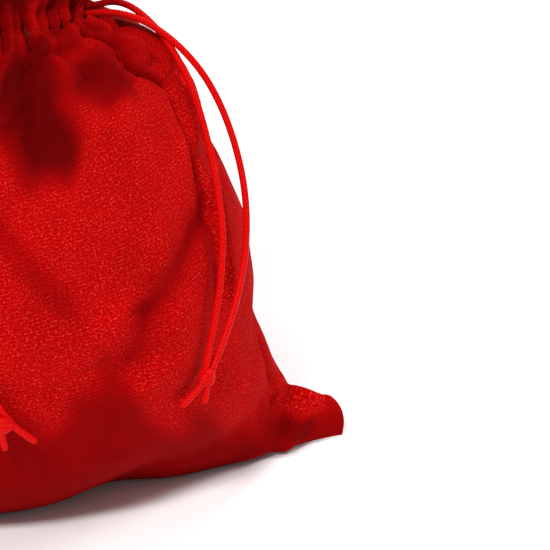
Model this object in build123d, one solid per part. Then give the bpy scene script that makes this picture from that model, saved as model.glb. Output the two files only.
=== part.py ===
from build123d import *
import math
import os

os.makedirs("parts", exist_ok=True)

# A stuffed drawstring gift sack of velvet, standing on its base. Millimetres.
# Origin: middle of the base. +X: to the right along the bottom seam. -Y: front. +Z: up.

# --- Driving sizes -----------------------------------------------------------------------
CORNER_SPAN = 203.0      # bottom seam from corner to corner, the width the cloth is cut to
BELLY_WIDTH = 143.0      # widest part of the stuffed body
BELLY_DEPTH = 98.0
BODY_HEIGHT = 145.0      # base to the lower stitch row of the casing
NECK_WIDTH = 54.0        # gathered neck, outside of the casing
NECK_DEPTH = 38.0
CASING_HEIGHT = 11.0
HEADER_HEIGHT = 34.0     # ruffle above the casing
MOUTH_WIDTH = 86.0       # flared top edge of the ruffle
MOUTH_DEPTH = 66.0
CLOTH = 1.0              # one layer of velvet
CORD_DIAMETER = 2.0      # round satin cord
CORD_PITCH = 3.0         # height from one cord to the other in the tunnel
CORD_CLEARANCE = 0.3     # play of a cord in the tunnel, all round
LIP_MARGIN = 0.7         # room above and below the cords, up to the stitched lips of the casing
CORNER_HEIGHT = 16.5     # flat corner that the stuffing doesn't fill
SEAM_ALLOWANCE = 5.0
STITCH_LENGTH = 2.4
STITCH_SPACING = 3.4
THREAD_DIAMETER = 0.5
THREAD_CLEARANCE = 0.05
OPENING_MARGIN = 0.5     # side opening round the cords
TACK_LENGTH = 5.0

# --- Sizes that follow ---------------------------------------------------------------------
CORD_RADIUS = CORD_DIAMETER / 2
THREAD_RADIUS = THREAD_DIAMETER / 2
HEADER_WALL = 2 * CLOTH
CASING_TOP = BODY_HEIGHT + CASING_HEIGHT
SACK_TOP = CASING_TOP + HEADER_HEIGHT
TUNNEL_GAP = CORD_DIAMETER + 2 * CORD_CLEARANCE
CASING_MIDDLE = BODY_HEIGHT + CASING_HEIGHT / 2
RIGHT_CORD_HEIGHT = CASING_MIDDLE - CORD_PITCH / 2 - CORD_CLEARANCE
LEFT_CORD_HEIGHT = RIGHT_CORD_HEIGHT + CORD_PITCH
LIP_HEIGHT = CASING_HEIGHT / 2 - (CORD_PITCH / 2 + CORD_CLEARANCE + CORD_RADIUS + LIP_MARGIN)
PIVOT_X = 30.0           # where a cord end bends as it leaves the neck
FRONT_LEG_Y = -7.0
BACK_LEG_Y = -2.0
STUB_REACH = 15.5        # inner end of the cord ends that wait inside the neck

# Height as a share of the body, then width and depth as shares of the belly.
BODY_PROFILE = [
    (0.0, 1.06, 0.45),
    (0.08, 1.10, 0.73),
    (0.21, 1.06, 0.92),
    (0.38, 1.00, 1.00),
    (0.59, 0.94, 0.94),
    (0.75, 0.81, 0.84),
    (0.87, 0.73, 0.69),
    (0.95, 0.62, 0.53),
]
# Height as a share of the header, then the share of the flare that is reached there.
HEADER_PROFILE = [(0.0, 0.0), (0.22, 0.10), (0.55, 0.50), (1.0, 1.0)]


def sack_levels(inset, floor):
    """Height, half width and half depth of each body level, moved in by inset and up by floor."""
    levels = []
    for height, width, depth in BODY_PROFILE:
        level_z = floor + height * (BODY_HEIGHT - floor)
        levels.append((level_z, width * BELLY_WIDTH / 2 - inset, depth * BELLY_DEPTH / 2 - inset))
    levels.append((BODY_HEIGHT, NECK_WIDTH / 2 - inset, NECK_DEPTH / 2 - inset))
    return levels


def header_levels(inset):
    """Height, half width and half depth of each header level, moved in by inset."""
    levels = []
    for height, flare in HEADER_PROFILE:
        half_width = NECK_WIDTH / 2 + flare * (MOUTH_WIDTH - NECK_WIDTH) / 2
        half_depth = NECK_DEPTH / 2 + flare * (MOUTH_DEPTH - NECK_DEPTH) / 2
        levels.append((CASING_TOP + height * HEADER_HEIGHT, half_width - inset, half_depth - inset))
    return levels


def loft_levels(levels):
    """One smooth solid through an ellipse at each level."""
    sections = [Plane.XY.offset(z) * Ellipse(a, b) for z, a, b in levels]
    return loft(Sketch() + sections)


def half_space(side):
    """A block that holds everything in front of (-1) or behind (+1) the side seams."""
    reach = 2 * (CORNER_SPAN + SACK_TOP)
    return Pos(0, side * reach / 2, 0) * Box(2 * reach, reach, 2 * reach)


def neck_ring(outer_inset, inner_inset, low, high):
    """An upright elliptical ring in the neck, between two insets from its outside."""
    outer = Ellipse(NECK_WIDTH / 2 - outer_inset, NECK_DEPTH / 2 - outer_inset)
    inner = Ellipse(NECK_WIDTH / 2 - inner_inset, NECK_DEPTH / 2 - inner_inset)
    return Pos(0, 0, low) * extrude(outer - inner, amount=high - low)


def corner_flap(hand, side):
    """One cloth layer of a bottom corner that the stuffing leaves flat."""
    tip = CORNER_SPAN / 2
    root = 0.98 * BELLY_WIDTH / 2
    height = CORNER_HEIGHT
    edge = Line((root, 0), (tip - 2.5, 0))
    edge += ThreePointArc((tip - 2.5, 0), (tip, 0.3 * height), (tip - 2, 0.7 * height))
    edge += Line((tip - 2, 0.7 * height), (tip - 8, height))
    edge += Spline((tip - 8, height), (tip - 16, 1.12 * height), (root + 4, 2.3 * height))
    edge += Polyline((root + 4, 2.3 * height), (root, 2.3 * height), (root, 0))
    flap = extrude(Plane.XZ * make_face(edge), amount=-side * CLOTH)
    return flap if hand > 0 else mirror(flap, about=Plane.YZ)


def side_opening():
    """Blocks that cut the cord openings through the casing at both sides of the neck."""
    low = RIGHT_CORD_HEIGHT - CORD_RADIUS - OPENING_MARGIN
    high = LEFT_CORD_HEIGHT + CORD_RADIUS + OPENING_MARGIN
    front = FRONT_LEG_Y - CORD_RADIUS - OPENING_MARGIN
    back = BACK_LEG_Y + CORD_RADIUS + OPENING_MARGIN
    block = Box(PIVOT_X, back - front, high - low)
    middle = (PIVOT_X, (front + back) / 2, (low + high) / 2)
    return [Pos(middle[0], middle[1], middle[2]) * block, Pos(-middle[0], middle[1], middle[2]) * block]


def stitch(middle, direction):
    """One straight stitch of thread, lying on the cloth."""
    plane = Plane(origin=middle, z_dir=direction)
    return plane * Cylinder(THREAD_RADIUS, STITCH_LENGTH)


def casing_stitches(height, side):
    """A half row of stitches round the neck, in front (-1) or behind (+1)."""
    half_width = NECK_WIDTH / 2 + THREAD_RADIUS + THREAD_CLEARANCE
    half_depth = NECK_DEPTH / 2 + THREAD_RADIUS + THREAD_CLEARANCE
    first_angle = math.asin((TACK_LENGTH / 2 + STITCH_LENGTH) / half_depth)
    swept = math.pi - 2 * first_angle
    count = int(swept * math.sqrt((half_width**2 + half_depth**2) / 2) / STITCH_SPACING)
    stitches = []
    for index in range(count):
        angle = first_angle + swept * (index + 0.5) / count
        middle = (half_width * math.cos(angle), side * half_depth * math.sin(angle), height)
        along = (-half_width * math.sin(angle), side * half_depth * math.cos(angle), 0)
        stitches.append(stitch(middle, along))
    return stitches


def inner_half_width(height):
    """Half width of the hollow at a height, straight between the body levels."""
    levels = sack_levels(CLOTH, CLOTH)
    for (low, near, _), (high, far, _) in zip(levels, levels[1:]):
        if low <= height <= high:
            return near + (far - near) * (height - low) / (high - low)
    return levels[-1][1]


def side_seam_stitches(hand):
    """Stitches up one side seam, on the front face of its allowance."""
    front = -(CLOTH + THREAD_RADIUS + THREAD_CLEARANCE)
    first = CLOTH + 2 * SEAM_ALLOWANCE
    last = 0.86 * BODY_HEIGHT
    count = int((last - first) / STITCH_SPACING)
    stitches = []
    for index in range(count):
        height = first + (index + 0.5) * STITCH_SPACING
        here = inner_half_width(height) - SEAM_ALLOWANCE / 2
        above = inner_half_width(height + 1) - SEAM_ALLOWANCE / 2
        stitches.append(stitch((hand * here, front, height), (hand * (above - here), 0, 1)))
    return stitches


def bottom_seam_stitches():
    """Stitches along the bottom seam, on the front face of its allowance."""
    front = -(CLOTH + THREAD_RADIUS + THREAD_CLEARANCE)
    height = CLOTH + SEAM_ALLOWANCE / 2
    length = 0.9 * BELLY_WIDTH
    count = int(length / STITCH_SPACING)
    return [
        stitch(((index - (count - 1) / 2) * STITCH_SPACING, front, height), (1, 0, 0))
        for index in range(count)
    ]


def opening_tack(hand):
    """The bar of close stitches under a side opening."""
    out = NECK_WIDTH / 2 + THREAD_RADIUS + THREAD_CLEARANCE
    height = BODY_HEIGHT + LIP_HEIGHT / 2
    bars = []
    for row in (-1, 0, 1):
        middle = (hand * out, 0, height + row * 1.2 * THREAD_DIAMETER)
        bars.append(Plane(origin=middle, z_dir=(0, 1, 0)) * Cylinder(THREAD_RADIUS, TACK_LENGTH))
    return bars


def cord_round_neck(hand, height):
    """The stretch of a cord inside the tunnel, round the neck from its own side opening."""
    middle_inset = CLOTH + TUNNEL_GAP / 2
    half_width = NECK_WIDTH / 2 - middle_inset
    half_depth = NECK_DEPTH / 2 - middle_inset
    front_gap = math.degrees(math.asin((CORD_DIAMETER - FRONT_LEG_Y) / half_depth))
    back_gap = math.degrees(math.asin((CORD_DIAMETER + BACK_LEG_Y + CORD_RADIUS) / half_depth))
    arc = 360 - front_gap - back_gap
    path = EllipticalCenterArc((0, 0), half_width, half_depth, start_angle=back_gap, arc_size=arc)
    path = Pos(0, 0, height) * path
    tube = sweep(Plane(origin=path @ 0, z_dir=path % 0) * Circle(CORD_RADIUS), path=path)
    return tube if hand > 0 else mirror(tube, about=Plane.YZ)


def cord_ends_in_opening(hand, height):
    """Both ends of a cord where they pass straight out through the side opening."""
    outer = PIVOT_X - CORD_RADIUS - CORD_CLEARANCE
    length = outer - STUB_REACH
    ends = []
    for leg_y in (FRONT_LEG_Y, BACK_LEG_Y):
        plane = Plane(origin=(hand * STUB_REACH, leg_y, height), z_dir=(hand, 0, 0))
        ends.append(plane * Cylinder(CORD_RADIUS, length, align=(Align.CENTER, Align.CENTER, Align.MIN)))
    return ends


# --- Cord routes: pivot at the neck first, knot last ----------------------------------------
RIGHT_FRONT_ROUTE = [
    (PIVOT_X, FRONT_LEG_Y, RIGHT_CORD_HEIGHT),
    (38.5, -8.5, 146.5),
    (47.5, -11.5, 139.5),
    (55.0, -15.0, 128.0),
    (60.5, -18.5, 112.5),
    (63.5, -22.5, 95.0),
    (62.0, -27.5, 78.0),
    (56.5, -34.0, 64.5),
    (51.0, -38.5, 55.0),
    (46.6, -41.6, 48.0),
]
RIGHT_BACK_ROUTE = [
    (PIVOT_X, BACK_LEG_Y, RIGHT_CORD_HEIGHT),
    (37.0, -4.5, 146.0),
    (43.5, -9.5, 139.0),
    (48.5, -15.0, 129.5),
    (51.5, -19.5, 117.5),
    (53.5, -24.5, 103.0),
    (54.0, -31.0, 87.5),
    (51.5, -36.0, 73.0),
    (48.0, -39.5, 60.5),
    (44.5, -41.7, 48.2),
]
LEFT_FRONT_ROUTE = [
    (-PIVOT_X, FRONT_LEG_Y, LEFT_CORD_HEIGHT),
    (-37.5, -9.5, 149.0),
    (-44.0, -14.5, 141.5),
    (-47.5, -20.5, 130.0),
    (-47.5, -27.0, 116.5),
    (-44.0, -34.5, 101.5),
    (-38.0, -41.5, 86.5),
    (-30.5, -47.0, 71.5),
    (-22.5, -50.0, 58.5),
    (-16.2, -51.7, 47.4),
]
LEFT_BACK_ROUTE = [
    (-PIVOT_X, BACK_LEG_Y, LEFT_CORD_HEIGHT),
    (-38.5, -4.0, 149.0),
    (-46.5, -8.5, 141.0),
    (-51.5, -14.5, 128.5),
    (-53.0, -21.5, 113.0),
    (-51.5, -30.0, 97.0),
    (-45.5, -38.5, 81.5),
    (-36.0, -45.0, 68.0),
    (-26.0, -49.0, 57.5),
    (-18.3, -51.6, 47.2),
]
RIGHT_KNOT = (45.3, -41.8, 47.0)
LEFT_KNOT = (-17.2, -51.9, 46.2)
KNOT_SIZE = (5.4, 4.6, 6.2)
RIGHT_TAILS = [
    [(44.2, -42.3, 46.0), (41.0, -43.3, 43.6), (37.6, -44.0, 40.6)],
    [(46.0, -41.9, 45.4), (45.6, -42.4, 42.6), (44.4, -42.6, 40.0)],
]
LEFT_TAILS = [
    [(-16.2, -52.2, 45.2), (-12.6, -52.2, 42.6), (-8.8, -51.8, 39.8)],
    [(-18.0, -52.2, 44.6), (-18.2, -52.2, 41.6), (-17.2, -51.8, 38.8)],
]


def cord_tube(route, name):
    """A round cord along a route: straight runs joined by arcs as large as the runs allow."""
    points = [Vector(*point) for point in route]
    radii = []
    for before, here, after in zip(points, points[1:], points[2:]):
        turn = math.radians((here - before).get_angle(after - here))
        shorter = min((here - before).length, (after - here).length)
        radii.append(0.45 * shorter / math.tan(turn / 2))
    path = FilletPolyline(*points, radius=radii)
    print(name, "length", round(path.length, 1), "radii", [round(radius, 1) for radius in radii])
    tube = sweep(Plane(origin=path @ 0, z_dir=path % 0) * Circle(CORD_RADIUS), path=path)
    section = math.pi * CORD_RADIUS**2
    print(name, "volume share", round(tube.volume / (section * path.length), 4))
    return tube


def cord_leg(route, name):
    """A cord leg with a round end at its pivot."""
    return cord_tube(route, name) + Pos(*route[0]) * Sphere(CORD_RADIUS)


def knot(middle):
    """The outer shape of an overhand knot tied in both legs."""
    width, depth, height = KNOT_SIZE
    return Pos(*middle) * scale(Sphere(0.5), by=(width, depth, height))


def build_parts():
    """Every node of the sack, by name."""
    parts = {}
    outer = loft_levels(sack_levels(0, 0))
    hollow = loft_levels(sack_levels(CLOTH, CLOTH))
    core = loft_levels(sack_levels(CLOTH + SEAM_ALLOWANCE, CLOTH + SEAM_ALLOWANCE))
    header = loft_levels(header_levels(0)) - loft_levels(header_levels(HEADER_WALL))
    tunnel_low = BODY_HEIGHT + LIP_HEIGHT
    tunnel_high = CASING_TOP - LIP_HEIGHT
    tunnel_inner = CLOTH + TUNNEL_GAP
    casing = neck_ring(0, CLOTH, BODY_HEIGHT, CASING_TOP)
    casing += neck_ring(CLOTH, tunnel_inner, BODY_HEIGHT, tunnel_low)
    casing += neck_ring(CLOTH, tunnel_inner, tunnel_high, CASING_TOP)
    facing = neck_ring(tunnel_inner, tunnel_inner + CLOTH, BODY_HEIGHT, CASING_TOP)
    for name, side in (("front", -1), ("back", 1)):
        panel = (outer - hollow) & half_space(side)
        for hand in (-1, 1):
            panel += corner_flap(hand, side) - hollow
        parts[f"{name}_panel"] = panel
        parts[f"{name}_casing"] = (casing - side_opening()) & half_space(side)
        parts[f"{name}_casing_facing"] = (facing - side_opening()) & half_space(side)
        parts[f"{name}_header"] = header & half_space(side)
        lower_row = BODY_HEIGHT + LIP_HEIGHT / 2
        upper_row = CASING_TOP - LIP_HEIGHT / 2
        parts[f"{name}_lower_stitches"] = casing_stitches(lower_row, side)
        parts[f"{name}_upper_stitches"] = casing_stitches(upper_row, side)

    allowance = (hollow - core) & Box(CORNER_SPAN, 2 * CLOTH, 2 * SACK_TOP)
    turn_up = CLOTH + SEAM_ALLOWANCE
    low_block = Pos(0, 0, turn_up / 2) * Box(CORNER_SPAN, CORNER_SPAN, turn_up)
    parts["bottom_seam_allowance"] = allowance & low_block
    parts["bottom_seam_thread"] = bottom_seam_stitches()
    for name, hand in (("right", 1), ("left", -1)):
        side_block = Pos(hand * CORNER_SPAN / 2, 0, turn_up + SACK_TOP / 2)
        parts[f"{name}_seam_allowance"] = allowance & side_block * Box(CORNER_SPAN, CORNER_SPAN, SACK_TOP)
        parts[f"{name}_seam_thread"] = side_seam_stitches(hand)
        parts[f"{name}_opening_tack"] = opening_tack(hand)

    cords = (
        ("right", 1, RIGHT_CORD_HEIGHT, RIGHT_FRONT_ROUTE, RIGHT_BACK_ROUTE, RIGHT_KNOT, RIGHT_TAILS),
        ("left", -1, LEFT_CORD_HEIGHT, LEFT_FRONT_ROUTE, LEFT_BACK_ROUTE, LEFT_KNOT, LEFT_TAILS),
    )
    for name, hand, height, front_route, back_route, knot_middle, tails in cords:
        parts[f"{name}_cord_round_neck"] = cord_round_neck(hand, height)
        parts[f"{name}_cord_ends_in_opening"] = cord_ends_in_opening(hand, height)
        parts[f"{name}_cord_front_leg"] = cord_leg(front_route, f"{name}_cord_front_leg")
        parts[f"{name}_cord_back_leg"] = cord_leg(back_route, f"{name}_cord_back_leg")
        parts[f"{name}_knot"] = knot(knot_middle)
        for tail, route in zip(("long", "short"), tails):
            parts[f"{name}_{tail}_tail"] = cord_tube(route, f"{name}_{tail}_tail")
    return parts


for node, shape in build_parts().items():
    solids = list(shape) if isinstance(shape, list) else shape.solids()
    export_step(Compound(children=solids), f"parts/{node}.step")
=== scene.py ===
"""Looks of a stuffed velvet drawstring gift sack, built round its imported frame."""
import math

import bmesh
import bpy
import numpy as np
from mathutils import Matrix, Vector


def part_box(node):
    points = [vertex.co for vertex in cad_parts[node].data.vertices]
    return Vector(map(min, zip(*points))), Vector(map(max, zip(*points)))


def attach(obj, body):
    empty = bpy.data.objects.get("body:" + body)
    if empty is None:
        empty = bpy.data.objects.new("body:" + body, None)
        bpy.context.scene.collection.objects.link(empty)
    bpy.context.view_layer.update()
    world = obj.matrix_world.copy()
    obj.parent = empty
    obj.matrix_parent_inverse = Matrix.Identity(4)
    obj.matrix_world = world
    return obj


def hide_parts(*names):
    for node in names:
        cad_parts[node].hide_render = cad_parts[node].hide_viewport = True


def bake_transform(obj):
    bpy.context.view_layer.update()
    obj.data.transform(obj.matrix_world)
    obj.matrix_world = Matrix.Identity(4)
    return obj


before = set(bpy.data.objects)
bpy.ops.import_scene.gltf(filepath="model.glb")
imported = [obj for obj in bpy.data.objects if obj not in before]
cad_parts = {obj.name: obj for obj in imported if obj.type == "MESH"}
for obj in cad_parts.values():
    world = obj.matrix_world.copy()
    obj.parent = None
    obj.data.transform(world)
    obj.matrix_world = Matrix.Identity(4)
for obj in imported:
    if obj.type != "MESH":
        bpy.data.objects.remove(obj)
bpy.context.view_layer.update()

bl_info = {
    "name": "Velvet Gift Sack",
    "version": (1, 0, 0),
    "blender": (4, 5, 0),
    "location": "View3D > Sidebar > Gift Sack",
    "description": "Builds the velvet, cords and stitching of a drawstring gift sack",
    "category": "Add Mesh",
}

MM = 0.001
CORNER_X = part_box("front_panel")[1][0] / MM
CASING_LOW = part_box("front_casing")[0][2] / MM
CASING_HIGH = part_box("front_casing")[1][2] / MM
NECK_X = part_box("front_casing")[1][0] / MM
NECK_Y = -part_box("front_casing")[0][1] / MM
MOUTH_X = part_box("front_header")[1][0] / MM
MOUTH_Y = -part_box("front_header")[0][1] / MM
TOP_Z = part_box("front_header")[1][2] / MM
BELLY_Y = -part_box("front_panel")[0][1] / MM
RIGHT_PIVOT_Z = sum(corner[2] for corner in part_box("right_cord_ends_in_opening")) / 2 / MM
LEFT_PIVOT_Z = sum(corner[2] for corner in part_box("left_cord_ends_in_opening")) / 2 / MM

# Cloth lengths up a panel, in millimetres from the bottom seam
LOWER_ROW = 204.5
UPPER_ROW = 212.5
CORD_LINE = 209.5
CASING_START = 203.0
CASING_END = 214.0
HEADER_EDGE = 252.0

# Side seam: cloth length, half width and height
SIDE_SEAM = np.array([
    (0, CORNER_X - 0.8, 1.0),
    (4, CORNER_X, 4.6),
    (9, CORNER_X - 0.6, 9.0),
    (14, CORNER_X - 3.4, 13.2),
    (19, CORNER_X - 8.0, 15.6),
    (24, CORNER_X - 13.0, 16.5),
    (28, 85.6, 18.0),
    (34, 83.0, 23.0),
    (41, 80.0, 29.5),
    (50, 76.2, 38.5),
    (64, 71.4, 51.0),
    (80, 70.6, 67.0),
    (95, 68.6, 80.0),
    (112, 64.2, 94.0),
    (128, 58.6, 107.0),
    (143, 55.0, 119.0),
    (157, 51.0, 128.5),
    (170, 45.5, 134.8),
    (183, 37.0, 138.8),
    (194, 29.0, CASING_LOW - 2.6),
    (203, NECK_X - 4.0, CASING_LOW + 0.6),
    (214, NECK_X - 0.8, CASING_HIGH - 1.5),
    (222, NECK_X + 2.2, CASING_HIGH + 5.0),
    (236, 0.5 * (NECK_X + MOUTH_X), CASING_HIGH + 20.0),
    (252, MOUTH_X - 3.0, TOP_Z - 1.5),
])
# Middle of a panel: cloth length, half depth and height
MIDDLE_LINE = np.array([
    (0, 0.0, 0.6),
    (10, 10.0, 0.6),
    (19, 18.0, 0.8),
    (28, 26.5, 6.0),
    (38, 34.0, 13.0),
    (50, 41.0, 23.0),
    (65, BELLY_Y - 2.6, 37.5),
    (80, BELLY_Y - 0.4, 52.0),
    (97, BELLY_Y, 69.0),
    (114, BELLY_Y - 2.2, 86.0),
    (130, 43.5, 101.0),
    (146, 38.5, 116.0),
    (160, 34.5, 129.0),
    (173, 30.5, 137.5),
    (184, 26.5, 143.5),
    (194, 21.5, CASING_LOW + 1.8),
    (203, NECK_Y - 3.0, CASING_LOW + 3.0),
    (214, NECK_Y - 4.5, CASING_HIGH + 2.0),
    (222, NECK_Y - 1.0, CASING_HIGH + 9.0),
    (236, 0.5 * (NECK_Y + MOUTH_Y), CASING_HIGH + 20.0),
    (252, MOUTH_Y - 2.0, TOP_Z - 0.5),
])

# Soft folds pressed into a panel: where each starts and ends as (share of half width, cloth
# length), its depth and half width in millimetres, and how much painted shade darkens the pile along it. A
# negative depth is a ridge, and a negative shade is a painted highlight along it.
FRONT_FOLDS = [
    ((0.01, 196), (-0.01, 152), 4.6, 10.0, 0.0),
    ((0.04, 207), (0.10, 192), 2.2, 2.0, 0.55),
    ((-0.10, 196), (-0.17, 168), -1.3, 3.0, -0.30),
    ((0.20, 196), (0.27, 170), 2.4, 6.0, 0.0),
    ((0.36, 207), (0.40, 193), 2.0, 2.0, 0.45),
    ((0.39, 193), (0.54, 184), 2.8, 2.0, 0.50),
    ((0.54, 184), (0.50, 173), 2.4, 2.2, 0.40),
    ((0.50, 173), (0.67, 159), 2.2, 2.4, 0.38),
    ((0.50, 192), (0.64, 176), -2.6, 6.0, -0.10),
    ((-0.34, 200), (-0.30, 158), 3.2, 4.4, 0.30),
    ((0.66, 160), (0.62, 132), 1.4, 2.4, 0.25),
    ((0.62, 132), (0.56, 92), 1.6, 3.0, 0.32),
    ((1.0, 19), (0.84, 5), 0.0, 2.2, -0.35),
    ((0.66, 128), (0.62, 84), -1.4, 3.0, -0.05),
    ((0.58, 118), (0.27, 101), 2.6, 5.5, 0.42),
    ((0.27, 101), (0.21, 84), 2.0, 5.0, 0.36),
    ((-0.22, 137), (0.05, 104), 1.8, 4.0, 0.36),
    ((-0.28, 134), (-0.52, 112), 1.6, 5.0, 0.30),
    ((0.36, 128), (0.30, 78), -1.6, 9.0, 0.0),
    ((0.88, 56), (0.885, 30), 1.4, 3.0, 0.35),
    ((0.86, 40), (0.97, 31), -1.8, 2.2, -0.25),
    ((0.30, 34), (0.76, 40), 1.4, 6.0, 0.0),
    ((-0.92, 52), (-0.74, 22), 3.2, 5.0, 0.30),
    ((-0.60, 120), (-0.52, 70), 2.0, 5.0, 0.25),
]
BACK_FOLDS = [
    ((0.05, 200), (0.10, 150), 4.0, 5.0, 0.4),
    ((-0.40, 198), (-0.32, 152), 3.4, 4.4, 0.4),
    ((0.46, 198), (0.36, 162), 3.0, 4.0, 0.4),
    ((-0.10, 140), (-0.36, 96), 2.2, 6.5, 0.3),
    ((0.55, 118), (0.18, 84), 2.4, 7.0, 0.3),
    ((-0.58, 126), (-0.52, 70), 2.2, 5.0, 0.3),
    ((0.92, 52), (0.74, 22), 3.2, 5.0, 0.3),
    ((-0.92, 52), (-0.74, 22), 3.4, 5.0, 0.3),
]
# Patches of painted shade on the pile, in hollows and under the overhanging shoulders: middle as (share of
# half width, cloth length), then half width, half height in millimetres, and how dark.
FRONT_SHADE_PATCHES = [
    ((0.0, 187), 11.0, 13.0, 0.9),
    ((-0.04, 172), 18.5, 17.0, 1.0),
    ((0.01, 155), 13.0, 14.0, 1.0),
    ((0.11, 195), 5.0, 6.0, 0.8),
    ((0.31, 172), 14.0, 12.0, 0.72),
    ((0.87, 14), 5.0, 8.0, 0.6),
    ((-0.12, 214), 16.0, 7.0, 0.65),
    ((0.30, 220), 8.0, 5.0, 0.6),
]
BACK_SHADE_PATCHES = [
    ((0.12, 170), 14.0, 20.0, 0.7),
    ((-0.36, 176), 10.0, 12.0, 0.6),
    ((-0.20, 96), 18.0, 10.0, 0.4),
]

# The hem inside a panel, in millimetres: the gap from outside to hem, how far the hem stands off
# behind the cords and over what half height, and how far the turned edge rises.
HEM_GAP = 2.2
TUNNEL_ROOM = 3.4
TUNNEL_HALF_HEIGHT = 3.2
TURNED_EDGE = 0.9

# Cords in millimetres: thickness of the knotted strand, and how deep behind the gathers the ring
# in the tunnel lies.
KNOT_STRAND = 1.3
RING_DEPTH = 2.1

# Stage: lights as (name, place, size, watts), sizes and places in metres, angles in degrees
LIGHTS = (
    ("key", (-0.55, -0.75, 1.15), 0.28, 16.0),
    ("rim", (0.95, 0.05, 0.80), 0.4, 5.0),
    ("top", (0.1, 0.30, 1.3), 0.5, 8.0),
)
LIGHTS_AIM = (0, 0, 0.08)
WORLD_LIGHT = 0.32
FLOOR_REACH = 6.0
CAMERA_AZIMUTH = 18.0
CAMERA_ELEVATION = 24.0
CAMERA_DISTANCE = 1.15
CAMERA_AIM = (71.9, -23.4, 67.7)
SEEN_WIDTH = 0.160

# Cord routes in millimetres: waiting in the neck, out past the pivot, down to the knot, tail.
FRONT_LEG_Y = -7.0
BACK_LEG_Y = -2.0
RIGHT_FRONT_ROUTE = [
    (17.0, FRONT_LEG_Y, RIGHT_PIVOT_Z),
    (24.0, FRONT_LEG_Y, RIGHT_PIVOT_Z),
    (31.0, FRONT_LEG_Y, RIGHT_PIVOT_Z - 0.9),
    (38.5, -8.5, 144.8),
    (47.5, -11.5, 137.4),
    (55.0, -15.0, 127.0),
    (60.5, -18.5, 112.5),
    (63.5, -22.5, 95.0),
    (62.0, -27.5, 78.0),
    (56.5, -34.0, 64.5),
    (51.0, -38.5, 55.0),
    (46.6, -41.6, 48.0),
    (44.2, -42.6, 45.6),
    (41.0, -43.6, 43.2),
    (37.6, -44.0, 40.6),
]
RIGHT_BACK_ROUTE = [
    (17.0, BACK_LEG_Y, RIGHT_PIVOT_Z),
    (24.0, BACK_LEG_Y, RIGHT_PIVOT_Z),
    (31.0, BACK_LEG_Y + 1.0, RIGHT_PIVOT_Z + 0.8),
    (37.0, -3.0, 147.0),
    (43.5, -8.5, 140.0),
    (48.5, -15.0, 129.5),
    (51.5, -19.5, 117.5),
    (53.5, -24.5, 103.0),
    (54.0, -31.0, 87.5),
    (51.5, -36.0, 73.0),
    (48.0, -39.5, 60.5),
    (44.8, -41.7, 49.0),
    (45.6, -42.2, 44.6),
    (44.4, -42.6, 40.2),
]
LEFT_FRONT_ROUTE = [
    (-17.0, FRONT_LEG_Y, LEFT_PIVOT_Z),
    (-24.0, FRONT_LEG_Y, LEFT_PIVOT_Z),
    (-31.0, FRONT_LEG_Y, LEFT_PIVOT_Z),
    (-37.5, -9.5, 149.0),
    (-44.0, -14.5, 141.5),
    (-47.5, -20.5, 130.0),
    (-47.5, -27.0, 116.5),
    (-44.0, -34.5, 101.5),
    (-38.0, -41.5, 86.5),
    (-30.5, -47.0, 71.5),
    (-22.5, -50.0, 58.5),
    (-16.2, -51.7, 47.4),
    (-13.0, -52.0, 43.4),
    (-8.8, -51.8, 39.8),
]
LEFT_BACK_ROUTE = [
    (-17.0, BACK_LEG_Y, LEFT_PIVOT_Z),
    (-24.0, BACK_LEG_Y, LEFT_PIVOT_Z),
    (-31.0, BACK_LEG_Y, LEFT_PIVOT_Z),
    (-38.5, -4.0, 149.0),
    (-46.5, -8.5, 141.0),
    (-51.5, -14.5, 128.5),
    (-53.0, -21.5, 113.0),
    (-51.5, -30.0, 97.0),
    (-45.5, -38.5, 81.5),
    (-36.0, -45.0, 68.0),
    (-26.0, -49.0, 57.5),
    (-18.3, -51.6, 47.8),
    (-18.2, -52.2, 43.0),
    (-17.2, -51.8, 38.8),
]


# --- Values a user would change -------------------------------------------------------------
class SackSizes(bpy.types.PropertyGroup):
    cloth: bpy.props.FloatProperty(
        name="Cloth", description="Thickness of the velvet", default=0.0009, unit="LENGTH")
    cord: bpy.props.FloatProperty(
        name="Cord", description="Diameter of the satin cord", default=0.002, unit="LENGTH")
    rib: bpy.props.FloatProperty(
        name="Rib", description="Pitch of the velvet's ribs, in millimetres", default=1.12)
    pleats: bpy.props.IntProperty(
        name="Pleats", description="Gathers in each panel at the neck", default=8)
    pleat_depth: bpy.props.FloatProperty(
        name="Pleat depth", description="Depth of a gather at the casing, in millimetres", default=4.2)
    looseness: bpy.props.FloatProperty(
        name="Looseness", description="Share by which the cloth is larger than the shape it is held in",
        default=0.08)
    stitch: bpy.props.FloatProperty(
        name="Stitch", description="Length of a stitch, in millimetres", default=2.3)


class SackColours(bpy.types.PropertyGroup):
    velvet: bpy.props.StringProperty(
        name="Velvet", description="Colour of the pile where it faces the light", default="C80607")
    velvet_deep: bpy.props.StringProperty(
        name="Velvet between ribs", description="Colour between the ribs", default="960304")
    # The pressed-flat colour is painted shade: it takes over the velvet's colour where the painted light on
    # the pile is low.
    velvet_painted_shade: bpy.props.StringProperty(
        name="Velvet pressed flat", description="Colour of the pile where it lies down", default="600203")
    # The flecks are painted glints, shown only where the pile is painted as lit.
    velvet_fleck: bpy.props.StringProperty(
        name="Velvet flecks", description="Colour of the pile tips that catch light", default="FF4A3C")
    satin: bpy.props.StringProperty(
        name="Satin", description="Colour of the cord", default="E00A06")
    satin_deep: bpy.props.StringProperty(
        name="Satin grooves", description="Colour between the cord's strands", default="B40204")
    thread: bpy.props.StringProperty(
        name="Thread", description="Colour of the sewing thread", default="780203")
    floor: bpy.props.StringProperty(
        name="Floor", description="Colour of the floor", default="FDFDFD")


def sizes():
    return bpy.context.scene.sack_sizes


def colours():
    return bpy.context.scene.sack_colours


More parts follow.
